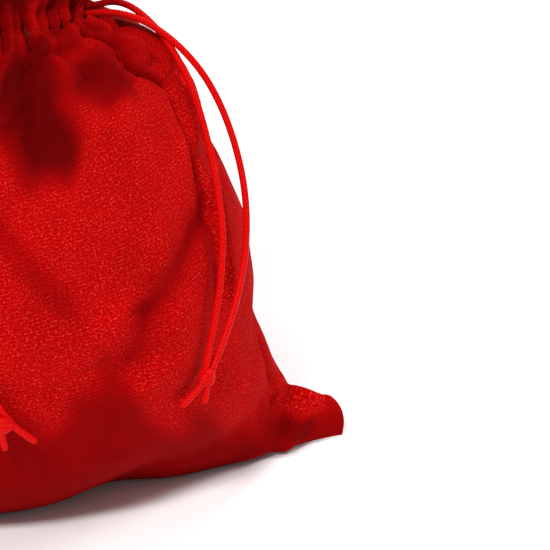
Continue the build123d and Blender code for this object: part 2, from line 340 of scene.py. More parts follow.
# --- Materials --------------------------------------------------------------------------------
def linear(hex_colour):
    """sRGB hex to linear RGBA."""
    channels = [int(hex_colour[i:i + 2], 16) / 255 for i in (0, 2, 4)]
    return tuple(c / 12.92 if c <= 0.04045 else ((c + 0.055) / 1.055) ** 2.4 for c in channels) + (1.0,)


def add_node(tree, kind, settings=None, links=None, **attributes):
    """Adds one node: attributes on the node, settings on its inputs, links as input to output."""
    node = tree.nodes.new(kind)
    for name, value in attributes.items():
        setattr(node, name, value)
    for name, value in (settings or {}).items():
        node.inputs[name].default_value = value
    for name, output in (links or {}).items():
        tree.links.new(output, node.inputs[name])
    return node


def new_material(name, **shader_settings):
    """A material with a Principled shader; returns it with its tree and shader."""
    material = bpy.data.materials.new(name)
    material.use_nodes = True
    tree = material.node_tree
    shader = tree.nodes["Principled BSDF"]
    for socket, value in shader_settings.items():
        shader.inputs[socket.replace("_", " ")].default_value = value
    return material, tree, shader


def ramp(tree, factor, stops):
    """A colour ramp with the stops given as (place, colour)."""
    node = add_node(tree, "ShaderNodeValToRGB", links={"Fac": factor})
    elements = node.color_ramp.elements
    while len(elements) < len(stops):
        elements.new(0.5)
    for element, (place, colour) in zip(elements, stops):
        element.position = place
        element.color = colour
    return node.outputs["Color"]


def velvet_material():
    """Ribbed velvet: dense pile in fine ribs, woven across the panel. The pile scatters light at
    grazing angles, so edges and folds glow softly. Bright flecks where tufts catch the light are painted
    glints, and painted light and shade, kept per vertex, darken the colour in folds, hollows and low down."""
    material, tree, shader = new_material(
        "ribbed_velvet", Roughness=0.85, Specular_IOR_Level=0.02, Sheen_Weight=0.05,
        Sheen_Roughness=0.42, Sheen_Tint=linear("FF3030"))
    uv = add_node(tree, "ShaderNodeUVMap", uv_map="cloth").outputs["UV"]
    grain = add_node(tree, "ShaderNodeMapping", {"Rotation": (0, 0, math.radians(-8))}, {"Vector": uv})
    rib_scale = math.pi / (10 * sizes().rib)
    rib = add_node(
        tree, "ShaderNodeTexWave",
        {"Scale": rib_scale, "Distortion": 1.1, "Detail": 2.0, "Detail Scale": 3.0},
        {"Vector": grain.outputs["Vector"]}, wave_type="BANDS", bands_direction="Y")
    tuft_map = add_node(
        tree, "ShaderNodeMapping", {"Scale": (0.75, 1.0, 1.0)}, {"Vector": grain.outputs["Vector"]})
    tuft = add_node(
        tree, "ShaderNodeTexNoise", {"Scale": 1.8, "Detail": 2.0, "Roughness": 0.55},
        {"Vector": tuft_map.outputs["Vector"]})
    brushed_tone_and_painted_shade = add_node(
        tree, "ShaderNodeTexNoise", {"Scale": 0.055, "Detail": 3.0, "Roughness": 0.55}, {"Vector": uv})
    white, black = (1, 1, 1, 1), (0, 0, 0, 1)
    rib_height = ramp(tree, rib.outputs["Fac"], [(0.0, (0.35, 0.35, 0.35, 1)), (0.8, white)])
    tuft_light = ramp(tree, tuft.outputs["Fac"], [(0.36, (0.25, 0.25, 0.25, 1)), (0.56, white)])
    standing = add_node(
        tree, "ShaderNodeMath", {}, {0: rib_height, 1: tuft_light}, operation="MULTIPLY")
    base = add_node(tree, "ShaderNodeMixRGB", {
        "Color1": linear(colours().velvet_deep), "Color2": linear(colours().velvet)},
        {"Fac": standing.outputs["Value"]})
    # Painted glints: bright flecks, only where the pile is painted as lit.
    fleck_mask = ramp(tree, tuft.outputs["Fac"], [(0.57, black), (0.70, white)])
    # Painted light and shade on the pile, read from a vertex attribute.
    pile = add_node(tree, "ShaderNodeAttribute", attribute_name="painted_light")
    lit_share = ramp(tree, pile.outputs["Fac"], [(0.55, black), (0.95, white)])
    fleck_share = add_node(tree, "ShaderNodeMath", {1: 0.55}, {0: fleck_mask}, operation="MULTIPLY")
    fleck_part = add_node(
        tree, "ShaderNodeMath", {}, {0: fleck_share.outputs["Value"], 1: lit_share}, operation="MULTIPLY")
    flecked = add_node(
        tree, "ShaderNodeMixRGB", {"Color2": linear(colours().velvet_fleck)},
        {"Fac": fleck_part.outputs["Value"], "Color1": base.outputs["Color"]})
    brush_shade = ramp(tree, brushed_tone_and_painted_shade.outputs["Fac"], [(0.36, (0.84, 0.84, 0.84, 1)), (0.62, white)])
    shaded = add_node(
        tree, "ShaderNodeMixRGB", {"Fac": 1.0}, {"Color1": flecked.outputs["Color"], "Color2": brush_shade},
        blend_type="MULTIPLY")
    # Painted shade: the pressed-flat colour takes over where the painted light is low.
    painted_shade_mix = add_node(
        tree, "ShaderNodeMixRGB", {"Color1": linear(colours().velvet_painted_shade)},
        {"Fac": pile.outputs["Fac"], "Color2": shaded.outputs["Color"]})
    tree.links.new(painted_shade_mix.outputs["Color"], shader.inputs["Base Color"])
    height = add_node(
        tree, "ShaderNodeMath", {1: 0.6}, {0: rib_height, 2: tuft.outputs["Fac"]}, operation="MULTIPLY_ADD")
    bump = add_node(
        tree, "ShaderNodeBump", {"Strength": 0.35, "Distance": 0.00022},
        {"Height": height.outputs["Value"]})
    tree.links.new(bump.outputs["Normal"], shader.inputs["Normal"])
    return material


def satin_material():
    """Satin rattail cord: shiny rayon strands laid round a soft core. Each strand throws a short
    bright streak, and the grooves between them stay deep red."""
    material, tree, shader = new_material(
        "satin_rattail", Roughness=0.42, Specular_IOR_Level=0.05)
    uv = add_node(tree, "ShaderNodeUVMap", uv_map="cloth").outputs["UV"]
    lay = add_node(tree, "ShaderNodeMapping", {"Rotation": (0, 0, math.radians(52))}, {"Vector": uv})
    strand = add_node(
        tree, "ShaderNodeTexWave", {"Scale": math.pi / (10 * 0.8), "Distortion": 1.6, "Detail": 1.0},
        {"Vector": lay.outputs["Vector"]}, wave_type="BANDS", bands_direction="X")
    fibre = add_node(tree, "ShaderNodeTexNoise", {"Scale": 2.2, "Detail": 3.0}, {"Vector": uv})
    colour = add_node(tree, "ShaderNodeMixRGB", {
        "Color1": linear(colours().satin_deep), "Color2": linear(colours().satin)},
        {"Fac": strand.outputs["Fac"]})
    tree.links.new(colour.outputs["Color"], shader.inputs["Base Color"])
    height = add_node(
        tree, "ShaderNodeMath", {1: 0.25}, {0: fibre.outputs["Fac"], 2: strand.outputs["Fac"]},
        operation="MULTIPLY_ADD")
    bump = add_node(
        tree, "ShaderNodeBump", {"Strength": 0.4, "Distance": 0.00014}, {"Height": height.outputs["Value"]})
    tree.links.new(bump.outputs["Normal"], shader.inputs["Normal"])
    return material


def thread_material():
    """Spun polyester sewing thread: two plies, a little glossy, slightly darker than the pile."""
    material, tree, shader = new_material("sewing_thread", Roughness=0.6, Specular_IOR_Level=0.1)
    place = add_node(tree, "ShaderNodeTexCoord").outputs["Object"]
    ply = add_node(
        tree, "ShaderNodeTexWave", {"Scale": math.pi / (10 * 0.0004)}, {"Vector": place},
        wave_type="BANDS", bands_direction="DIAGONAL")
    colour = add_node(tree, "ShaderNodeMixRGB", {
        "Color1": linear(colours().velvet_deep), "Color2": linear(colours().thread)},
        {"Fac": ply.outputs["Fac"]})
    tree.links.new(colour.outputs["Color"], shader.inputs["Base Color"])
    bump = add_node(
        tree, "ShaderNodeBump", {"Strength": 0.3, "Distance": 0.0001}, {"Height": ply.outputs["Fac"]})
    tree.links.new(bump.outputs["Normal"], shader.inputs["Normal"])
    return material


def lining_material():
    """Back of the velvet: plain woven ground without pile, matte, in a duller red."""
    material, tree, shader = new_material("velvet_back", Roughness=0.9, Specular_IOR_Level=0.15)
    place = add_node(tree, "ShaderNodeTexCoord").outputs["Object"]
    weave = add_node(
        tree, "ShaderNodeTexNoise", {"Scale": 900.0, "Detail": 3.0}, {"Vector": place})
    colour = add_node(tree, "ShaderNodeMixRGB", {
        "Color1": linear("5E0305"), "Color2": linear("8E0A0C")}, {"Fac": weave.outputs["Fac"]})
    tree.links.new(colour.outputs["Color"], shader.inputs["Base Color"])
    bump = add_node(
        tree, "ShaderNodeBump", {"Strength": 0.4, "Distance": 0.0002}, {"Height": weave.outputs["Fac"]})
    tree.links.new(bump.outputs["Normal"], shader.inputs["Normal"])
    return material


MATERIAL_MAKERS = {
    "ribbed_velvet": velvet_material,
    "satin_rattail": satin_material,
    "sewing_thread": thread_material,
    "velvet_back": lining_material,
}


def material_named(name):
    """The material with that name, made the first time it is asked for."""
    return bpy.data.materials.get(name) or MATERIAL_MAKERS[name]()


# --- Shapes -----------------------------------------------------------------------------------
def smooth_curve(table, column, at):
    """A column of a table read at any cloth length: cubic pieces whose slope at each row is the
    slope from the row before to the row after."""
    keys, values = table[:, 0], table[:, column]
    slope = np.gradient(values, keys)
    index = np.clip(np.searchsorted(keys, at, side="right") - 1, 0, len(keys) - 2)
    span = keys[index + 1] - keys[index]
    t = np.clip((at - keys[index]) / span, 0, 1)
    return (
        (2 * t**3 - 3 * t**2 + 1) * values[index] + (t**3 - 2 * t**2 + t) * span * slope[index]
        + (3 * t**2 - 2 * t**3) * values[index + 1] + (t**3 - t**2) * span * slope[index + 1])


def rise(low, high, at):
    """0 before low, 1 after high, and a smooth step between."""
    t = np.clip((at - low) / (high - low), 0, 1)
    return t * t * (3 - 2 * t)


def bell(distance, width):
    """1 at no distance, falling off over a width."""
    return np.exp(-(distance / width) ** 2)


def fold_depth(folds, across, up):
    """How far the folds press a point in, and how much painted shade they put on the pile, a negative shade
    being a painted
    highlight: a bell across each fold, fading at its two ends."""
    half_cut = CORNER_X
    depth, dark = np.zeros_like(up), np.zeros_like(up)
    for (start_across, start_up), (end_across, end_up), press, width, shade in folds:
        start = np.array([start_across * half_cut, start_up])
        run = np.array([end_across * half_cut, end_up]) - start
        length = np.hypot(*run)
        unit = run / length
        offset_across = across * half_cut - start[0]
        offset_up = up - start[1]
        along = (offset_across * unit[0] + offset_up * unit[1]) / length
        aside = offset_across * -unit[1] + offset_up * unit[0]
        fade = rise(-0.25, 0.15, along) * (1 - rise(0.85, 1.25, along))
        depth += press * bell(aside, width) * fade
        dark += shade * bell(aside, width) * fade
    return depth, dark


def painted_light(side, across, up):
    """Painted light and shade on the pile, from 0, fully in painted shade, to 1, fully lit: painted shade
    in folds, in patches under the shoulders and in hollows, between the gathers and low down, where the
    belly turns away from the light."""
    folds, patches = (FRONT_FOLDS, FRONT_SHADE_PATCHES) if side < 0 else (BACK_FOLDS, BACK_SHADE_PATCHES)
    wobble = 3.5 * np.sin(across * 19.0 + side) + 2.5 * np.sin(across * 41.0 + up / 6.0)
    # Painted shade low down, where the belly turns under and away from the light above.
    under = 72 - 62 * np.maximum(across - 0.12, 0) + 9 * bell(across - 0.13, 0.09) + wobble
    lit_share = 0.40 + 0.60 * rise(-9, 9, up - under)
    # Painted shade along the folds, and painted highlight along the ridges.
    lit_share = lit_share * (1 - fold_depth(folds, across, up)[1])
    # Painted shade in the patches, with ragged edges.
    ragged = 0.08 * np.sin(across * 31.0 + up / 7.1) + 0.05 * np.sin(up / 5.3 - across * 47.0)
    brushed_tone_and_painted_shade = np.zeros_like(up)
    for (middle_across, middle_up), half_width, half_height, dark in patches:
        reach = np.hypot((across - middle_across) * CORNER_X / half_width, (up - middle_up) / half_height)
        brushed_tone_and_painted_shade = 1 - (1 - brushed_tone_and_painted_shade) * (1 - dark * (1 - rise(0.5, 1.35, reach + ragged)))
    lit_share = lit_share * (1 - brushed_tone_and_painted_shade)
    # Painted shade between the gathers and on the shoulder, and painted light and shade in lumps at the
    # casing.
    gathered = rise(176, 200, up)
    valley = 1 - rise(-0.35, 0.25, pleat_wave(across, up, side))
    lit_share = lit_share * (1 - 0.6 * gathered * valley) * (1 - 0.3 * rise(158, 176, up))
    lumps = np.sin(across * 23.0 + up / 2.7 + side) * np.sin(up / 3.3 - across * 31.0)
    lit_share = lit_share * (1 + 0.35 * gathered * lumps)
    return np.clip(lit_share, 0, 1)


def pleat_wave(across, up, side):
    """The gathers: round ridges with sharp valleys between, unevenly spaced round the neck."""
    drift = 1.1 * np.sin(2.9 * across + 1.1 * side) + 0.7 * np.sin(7.3 * across + 0.03 * up - side)
    phase = sizes().pleats * math.pi * (across + 1) / 2 + drift
    ridge = np.sqrt(np.sin(phase) ** 2 + 0.02)
    uneven = 0.78 + 0.3 * np.sin(5.3 * across + 2.0 * side) + 0.16 * np.sin(11.0 * across - 0.05 * up)
    return (ridge - 0.72) * uneven


def lap(across, up):
    """Share of the cloth's thickness left beside the seams: none at a seam, all of it inside."""
    return (1 - np.abs(across) ** 24) * rise(0, 4, up)


def cloth_surface(side, across, up):
    """Points of a panel's outside. Each row is a curve from side seam to side seam: half width
    times a blend from a straight line to a sine, and half depth times a power of a cosine. Its
    ends follow the side seam and its middle the middle line. Folds, gathers and stitch rows then
    move it along its normal. side is -1 in front and 1 behind."""
    lower = np.minimum(up, HEADER_EDGE)
    half_width = smooth_curve(SIDE_SEAM, 1, lower)
    seam_height = smooth_curve(SIDE_SEAM, 2, lower)
    half_depth = smooth_curve(MIDDLE_LINE, 1, lower)
    middle_height = smooth_curve(MIDDLE_LINE, 2, lower)
    filled = rise(6, 58, up)
    turn = across * math.pi / 2
    x = half_width * ((1 - filled) * across + filled * np.sin(turn))
    power = 1.5 - 0.5 * filled
    belly = np.maximum(np.cos(turn), 0) ** power
    y = side * (half_depth * belly + sizes().cloth / MM * lap(across, up))
    z = middle_height + (seam_height - middle_height) * np.abs(across) ** (6.5 - 3.9 * filled)
    y = y - side * 8.0 * bell(across - 0.24, 0.15) * (1 - rise(22, 60, up)) * rise(2, 14, up)
    return np.stack([x, y, z], axis=-1)


def bend_corners(points):
    """The flat corners lean back towards their top edge, with one ridge running down and inwards
    across each and a hollow between that ridge and the belly."""
    x, z = np.abs(points[..., 0]), points[..., 2]
    corner = rise(72, 84, x) * (1 - rise(18, 34, z))
    aside = ((z - 3.8) - (x - 82.3)) / math.sqrt(2)
    bend = corner * (3.0 * (z / 16.0) - 1.0 - 2.4 * bell(aside, 2.2) + 3.6 * bell(aside - 5.0, 3.4))
    bend = bend - 4.5 * bell(x - 74, 14) * (1 - rise(3, 20, z))
    return points + bend[..., None] * np.array([0, 1.0, 0])


def move_along_normal(points, amount, side):
    """Moves grid points along the surface's normal, worked out from their neighbours."""
    along_across = np.gradient(points, axis=1)
    along_up = np.gradient(points, axis=0)
    normal = np.cross(along_across, along_up) * -side
    length = np.linalg.norm(normal, axis=-1, keepdims=True)
    normal = normal / np.maximum(length, 1e-9)
    return points + normal * amount[..., None], normal


def cloth_relief(side, across, up):
    """How far the outside stands out from its plain shape: folds, gathers, puckers at the stitch
    rows and seams, and a slow unevenness of the stuffing."""
    folds = FRONT_FOLDS if side < 0 else BACK_FOLDS
    relief = -1.3 * fold_depth(folds, across, up)[0]
    gather = 0.16 * rise(118, 168, up) + 0.84 * rise(160, 202, up)
    header = rise(CASING_END, HEADER_EDGE, up)
    deep = sizes().pleat_depth * (gather + 0.9 * header)
    seam_calm = 1 - 0.75 * bell(1 - np.abs(across), 0.05)
    relief += deep * pleat_wave(across, up, side) * seam_calm
    wander = 0.9 * np.sin(9.0 * across + side) + 0.5 * np.sin(23.0 * across)
    lower = up + wander - LOWER_ROW
    stitched = bell(lower, 1.3) + bell(up - UPPER_ROW, 1.5)
    pucker = np.cos(across * 43 * math.pi / 2 + 1.5 * np.sin(6.0 * across))
    relief -= stitched * (1.1 + 0.12 * pucker)
    relief += 2.6 * bell(lower + 6.5, 5.5) * (0.8 + 0.25 * np.sin(8.0 * across + 1.7 * side))
    relief += 0.2 * bell(lower + 4, 3.0) * pucker
    lumps = np.sin(across * 27.0 + up / 3.1 + side) * np.sin(up / 2.6 - across * 37.0)
    relief += 0.9 * lumps * rise(186, 196, up)
    relief -= 2.0 * bell(up - CORD_LINE, 2.2)
    relief += 3.0 * bell(np.abs(across) - 0.72, 0.2) * bell(up - 218, 5.0)
    seam = bell((1 - np.abs(across)) * CORNER_X, 2.2) * (1 - rise(196, 203, up))
    relief -= 1.1 * seam * rise(20, 40, up)
    s = across * CORNER_X
    uneven = (
        0.8 * np.sin(s / 13.0 + up / 21.0 + side) * np.sin(up / 17.0 - s / 31.0)
        + 0.45 * np.sin(s / 6.3 - up / 9.0 + 2 * side) * np.sin(up / 7.7 + s / 12.0))
    calm = (1 - 0.6 * rise(180, 203, up)) * (1 - bell(1 - np.abs(across), 0.08))
    relief += uneven * rise(20, 60, up) * calm
    return relief


def sewn_shell(grids):
    """Front and back grids joined into one sack: the back's side and bottom rows are the front's."""
    rows, columns = grids[0].shape[:2]
    front = np.arange(rows * columns).reshape(rows, columns)
    back = front + rows * columns
    back[:, 0], back[:, -1], back[0] = front[:, 0], front[:, -1], front[0]
    quads = [np.stack([i[:-1, :-1], i[:-1, 1:], i[1:, 1:], i[1:, :-1]], axis=-1).reshape(-1, 4)
             for i in (front, back[:, ::-1])]
    used, welded = np.unique(np.concatenate(quads), return_inverse=True)
    points = np.concatenate([grid.reshape(-1, 3) for grid in grids])[used]
    return points, welded.reshape(-1, 4), used, np.stack([front, back])


def settle_cloth():
    """Cloth simulation of the stuffed sack. The cloth is cut larger than the shape it is held
    in, and the stuffing presses from inside, so it buckles into wrinkles that run out from the
    gathered neck and the flat corners. Returns each side's wrinkles, in millimetres along the normal."""
    columns, rows, frames = 101, 127, 20
    across, up = np.meshgrid(np.linspace(-1, 1, columns), np.linspace(0, HEADER_EDGE, rows))
    grids = [move_along_normal(cloth_surface(side, across, up), cloth_relief(side, across, up), side)[0]
             for side in (-1, 1)]
    start, quads, used, index = sewn_shell(grids)
    mesh = bpy.data.meshes.new("settling")
    mesh.from_pydata((start * MM).tolist(), [], quads.tolist())
    sack = bpy.data.objects.new("settling", mesh)
    bpy.context.scene.collection.objects.link(sack)
    held = sack.vertex_groups.new(name="held")
    hold = np.maximum(rise(186, 200, up), 1 - rise(5, 18, up)).ravel()
    hold = np.concatenate([hold, hold])[used].round(2)
    for weight in np.unique(hold[hold > 0]):
        held.add(np.nonzero(hold == weight)[0].tolist(), float(weight), "REPLACE")
    cloth = sack.modifiers.new("cloth", "CLOTH")
    fabric = cloth.settings
    fabric.quality = 6
    fabric.tension_stiffness = fabric.compression_stiffness = 15
    fabric.bending_stiffness = 0.5
    fabric.shrink_min = fabric.shrink_max = -sizes().looseness
    fabric.use_pressure = True
    fabric.uniform_pressure_force = 2
    fabric.effector_weights.gravity = 0
    fabric.vertex_group_mass = held.name
    cloth.collision_settings.use_collision = False
    cloth.point_cache.frame_end = frames
    for frame_number in range(1, frames + 1):
        bpy.context.scene.frame_set(frame_number)
    settled = sack.evaluated_get(bpy.context.evaluated_depsgraph_get()).to_mesh()
    moved = np.array([vertex.co[:] for vertex in settled.vertices]) / MM - start
    bpy.data.objects.remove(sack)
    bpy.data.meshes.remove(mesh)
    bpy.context.scene.frame_set(1)
    shift = np.zeros((2 * rows * columns, 3))
    shift[used] = moved
    return [wrinkles_only(grid, move, side) for grid, move, side in zip(grids, shift[index], (-1, 1))]


def wrinkles_only(grid, move, side):
    """The simulated move without its slow swelling: the part along the normal, less its average
    over about 30 mm, and held within what the cords leave room for."""
    _, normals = move_along_normal(grid, np.zeros(grid.shape[:2]), side)
    outward = (move * normals).sum(axis=-1)
    swelling = outward
    for _ in range(60):
        padded = np.pad(swelling, 1, mode="edge")
        swelling = (padded[:-2, 1:-1] + padded[2:, 1:-1] + padded[1:-1, :-2] + padded[1:-1, 2:]) / 4
    return np.clip(1.3 * (outward - swelling) - 0.3, -3.0, 0.8)


def read_grid(grid, across, up):
    """A coarse grid read between its points: a smooth cubic through four points each way."""
    rows, columns = grid.shape[:2]
    total = np.zeros(across.shape)
    row_place = np.clip(up / HEADER_EDGE * (rows - 1), 0, rows - 1.001)
    column_place = np.clip((across + 1) / 2 * (columns - 1), 0, columns - 1.001)
    row, column = row_place.astype(int), column_place.astype(int)
    for row_step, row_share in enumerate(cubic_shares(row_place - row), -1):
        for column_step, column_share in enumerate(cubic_shares(column_place - column), -1):
            near_row = np.clip(row + row_step, 0, rows - 1)
            near_column = np.clip(column + column_step, 0, columns - 1)
            total += grid[near_row, near_column] * row_share * column_share
    return total


def cubic_shares(t):
    """Shares of the four points round a place t between the middle two."""
    return (
        (-t**3 + 2 * t**2 - t) / 2, (3 * t**3 - 5 * t**2 + 2) / 2,
        (-3 * t**3 + 4 * t**2 + t) / 2, (t**3 - t**2) / 2)


SETTLED = {}


def settled_wrinkles(side, across, up):
    """The simulated wrinkles at any cloth coordinates, worked out the first time they are asked for."""
    if not SETTLED:
        SETTLED[-1], SETTLED[1] = settle_cloth()
    free = rise(44, 84, up) * (1 - rise(186, 202, up)) * (1 - bell(1 - np.abs(across), 0.05))
    return free * read_grid(SETTLED[side], across, np.minimum(up, HEADER_EDGE))


def cloth_grid(side, columns, rows, low, high):
    """A panel's outside as a grid of points, with its normals and its cloth coordinates."""
    across, up = np.meshgrid(np.linspace(-1, 1, columns), np.linspace(low, high, rows))
    relief = cloth_relief(side, across, up) + settled_wrinkles(side, across, up)
    points, normals = move_along_normal(cloth_surface(side, across, up), relief, side)
    points[..., 1] = side * np.maximum(side * points[..., 1], sizes().cloth / MM * lap(across, up))
    points = bend_corners(points)
    points[..., 2] = np.maximum(points[..., 2], 0.25)
    return points, normals, across, up


def store_painted_light(mesh, lit_share):
    """Keeps the painted light and shade of the pile as a value at each vertex."""
    layer = mesh.attributes.new("painted_light", "FLOAT", "POINT")
    layer.data.foreach_set("value", lit_share.ravel())


def mesh_from_grid(name, points, uv, flip):
    """A mesh from a grid of points in millimetres, with its cloth coordinates as a UV map."""
    rows, columns = points.shape[:2]
    index = np.arange(rows * columns).reshape(rows, columns)
    right, left = index[:, 1:], index[:, :-1]
    quads = np.stack([left[:-1], right[:-1], right[1:], left[1:]], axis=-1).reshape(-1, 4)
    if flip:
        quads = quads[:, ::-1]
    mesh = bpy.data.meshes.new(name)
    mesh.from_pydata((points.reshape(-1, 3) * MM).tolist(), [], quads.tolist())
    layer = mesh.uv_layers.new(name="cloth")
    layer.data.foreach_set("uv", uv.reshape(-1, 2)[quads.reshape(-1)].ravel())
    mesh.polygons.foreach_set("use_smooth", [True] * len(quads))
    mesh.update()
    return mesh


def add_piece(name, mesh, material, body, replaces=()):
    """Puts a mesh in the scene as a piece of the sack."""
    piece = bpy.data.objects.new(name, mesh)
    bpy.context.scene.collection.objects.link(piece)
    for one in material if isinstance(material, (list, tuple)) else [material]:
        mesh.materials.append(material_named(one))
    if body:
        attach(piece, body)
    if replaces:
        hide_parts(*replaces)
    return piece


def make_panel(side, name):
    """One panel of velvet in one piece: belly, casing and ruffle outside, then turned over the
    ruffle's edge and down inside as the tunnel's inner wall."""
    rows, columns = 196, 188
    points, normals, across, up = cloth_grid(side, columns, rows, 0, HEADER_EDGE)
    first_inside = int(rows * CASING_START / HEADER_EDGE)
    inner = (points - normals * HEM_GAP)[first_inside:][::-1]
    inner_up = (2 * HEADER_EDGE - up)[first_inside:][::-1]
    inner_across = across[first_inside:][::-1]
    edge = (points[-1:] - normals[-1:] * HEM_GAP / 2) + np.array([0, 0, TURNED_EDGE])
    edge_up = np.full_like(up[-1:], HEADER_EDGE + 1)
    tunnel_middle = 2 * HEADER_EDGE - (LOWER_ROW + UPPER_ROW) / 2
    tunnel = bell(inner_up - tunnel_middle, TUNNEL_HALF_HEIGHT)[..., None]
    toward_middle = inner * np.array([1, 1, 0])
    toward_middle /= np.maximum(np.linalg.norm(toward_middle, axis=-1, keepdims=True), 1e-6)
    inner = inner - toward_middle * TUNNEL_ROOM * tunnel
    points = np.concatenate([points, edge, inner])
    across = np.concatenate([across, across[:1], inner_across])
    up = np.concatenate([up, edge_up, inner_up])
    uv = np.stack([across * CORNER_X, up], axis=-1)
    mesh = mesh_from_grid(name, points, uv, flip=side > 0)
    # Painted light and shade on the pile, kept on the mesh for the velvet's colour.
    store_painted_light(mesh, painted_light(side, across, np.minimum(up, 2 * HEADER_EDGE - up)))
    piece = add_piece(name, mesh, ["ribbed_velvet", "velvet_back"], "sack", [
        f"{name}_panel", f"{name}_casing", f"{name}_casing_facing", f"{name}_header"])
    layer = piece.vertex_groups.new(name="layer")
    thickness = lap(across, np.maximum(4.0 * (up > HEADER_EDGE), up)).ravel().round(2)
    for share in np.unique(thickness[thickness > 0]):
        layer.add(np.nonzero(thickness == share)[0].tolist(), float(share), "REPLACE")
    wall = piece.modifiers.new("cloth", "SOLIDIFY")
    wall.vertex_group = layer.name
    wall.thickness = sizes().cloth
    wall.offset = -1
    wall.material_offset = 1
    wall.material_offset_rim = 0
    return piece


def stitch_row(name, side, row, replaces):
    """Short rounded stitches lying along a stitch row, each a six-sided bar with pointed ends."""
    points, normals, _, _ = cloth_grid(side, 400, 5, row - 2, row + 2)
    line, out = points[2], normals[2]
    steps = np.linalg.norm(np.diff(line, axis=0), axis=1)
    length = np.concatenate([[0], np.cumsum(steps)])
    count = int(length[-1] / (1.45 * sizes().stitch))
    starts = (np.arange(count) + 0.2) * length[-1] / count
    shares = np.linspace(0, 1, 5)
    girth = np.array([0.08, 0.20, 0.23, 0.20, 0.08])
    turn = np.linspace(0, 2 * math.pi, 6, endpoint=False)
    at = starts[:, None] + shares[None, :] * sizes().stitch
    centre = np.stack([np.interp(at, length, line[:, i]) for i in range(3)], axis=-1)
    outward = np.stack([np.interp(at, length, out[:, i]) for i in range(3)], axis=-1)
    tangent = np.gradient(centre, axis=1)
    tangent /= np.linalg.norm(tangent, axis=-1, keepdims=True)
    aside = np.cross(tangent, outward)
    centre = centre + outward * 0.12
    ring = (
        np.cos(turn)[None, None, :, None] * outward[:, :, None, :]
        + np.sin(turn)[None, None, :, None] * aside[:, :, None, :])
    vertices = centre[:, :, None, :] + ring * girth[None, :, None, None]
    index = np.arange(count * 5 * 6).reshape(count, 5, 6)
    beside = np.roll(index, -1, axis=2)
    quads = np.stack([index[:, :-1], beside[:, :-1], beside[:, 1:], index[:, 1:]], axis=-1)
    quads = quads.reshape(-1, 4).tolist()
    caps = index[:, 0, ::-1].tolist() + index[:, -1].tolist()
    mesh = bpy.data.meshes.new(name)
    mesh.from_pydata((vertices.reshape(-1, 3) * MM).tolist(), [], quads + caps)
    mesh.polygons.foreach_set("use_smooth", [True] * len(mesh.polygons))
    return add_piece(name, mesh, "sewing_thread", "sack", replaces)


# --- Cords ------------------------------------------------------------------------------------
def spline_points(route):
    """Points along the NURBS curve that has the route as its control points."""
    data = bpy.data.curves.new("route", "CURVE")
    data.dimensions = "3D"
    spline = data.splines.new("NURBS")
    spline.points.add(len(route) - 1)
    for point, place in zip(spline.points, route):
        point.co = [value * MM for value in place] + [1.0]
    spline.order_u = 3
    spline.use_endpoint_u = True
    spline.resolution_u = 12
    holder = bpy.data.objects.new("route", data)
    bpy.context.scene.collection.objects.link(holder)
    bpy.context.view_layer.update()
    mesh = bpy.data.meshes.new_from_object(holder)
    points = np.array([vertex.co[:] for vertex in mesh.vertices]) / MM
    bpy.data.objects.remove(holder)
    bpy.data.meshes.remove(mesh)
    return points


def tube_frames(path):
    """Tangent and two normals along a path, carried forward so that they don't twist."""
    tangent = np.gradient(path, axis=0)
    tangent /= np.linalg.norm(tangent, axis=1, keepdims=True)
    normal = np.empty_like(path)
    first = np.cross(tangent[0], (0.0, 0.3, 1.0))
    normal[0] = first / np.linalg.norm(first)
    for i in range(1, len(path)):
        carried = normal[i - 1] - tangent[i] * np.dot(normal[i - 1], tangent[i])
        normal[i] = carried / np.linalg.norm(carried)
    return tangent, normal, np.cross(tangent, normal)


def tube_mesh(name, path, radius, closed=False, sides=14):
    """A round tube along a path, rounded off at both ends: each ring is a circle in the plane of
    the two normals, and the end rings shrink to a dome."""
    tangent, normal, binormal = tube_frames(path)
    girth = np.full(len(path), radius)
    if not closed:
        dome = radius * np.cos(np.radians([88, 60, 30]))
        back = radius * (1 - np.sin(np.radians([88, 60, 30])))
        head = path[0] + tangent[0] * (back[:, None] - radius)
        tail = path[-1] - tangent[-1] * (back[::-1, None] - radius)
        path = np.concatenate([head, path, tail])
        girth = np.concatenate([dome, girth, dome[::-1]])
        normal = np.concatenate([np.repeat(normal[:1], 3, 0), normal, np.repeat(normal[-1:], 3, 0)])
        binormal = np.concatenate([np.repeat(binormal[:1], 3, 0), binormal, np.repeat(binormal[-1:], 3, 0)])
    turn = np.linspace(0, 2 * math.pi, sides + 1)
    circle = np.cos(turn)[None, :, None] * normal[:, None] + np.sin(turn)[None, :, None] * binormal[:, None]
    points = path[:, None] + circle * girth[:, None, None]
    run = np.concatenate([[0], np.cumsum(np.linalg.norm(np.diff(path, axis=0), axis=1))])
    uv = np.stack(np.broadcast_arrays(run[:, None], turn[None] * radius), axis=-1)
    mesh = mesh_from_grid(name, points, uv, flip=True)
    work = bmesh.new()
    work.from_mesh(mesh)
    bmesh.ops.remove_doubles(work, verts=work.verts, dist=1e-6)
    bmesh.ops.holes_fill(work, edges=[edge for edge in work.edges if edge.is_boundary], sides=sides + 2)
    bmesh.ops.recalc_face_normals(work, faces=work.faces)
    for face in work.faces:
        face.smooth = True
    work.to_mesh(mesh)
    work.free()
    return mesh


def make_cord(name, route, hand, replaces):
    """A cord leg from inside the neck to its cut tail: a round tube along the curve through its route.
    The bend is measured outwards, forwards and down together, so that a leg that hangs back towards
    the middle still counts as the loop.
    """
    path = spline_points(route)
    mesh = tube_mesh(name, path, sizes().cord / MM / 2)
    piece = add_piece(name, mesh, "satin_rattail", None, replaces)
    outward = 1 if hand == "right" else -1
    leaving = np.array([outward, -0.5, -0.3])
    leaving = leaving / np.linalg.norm(leaving)
    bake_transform(piece)
    return piece


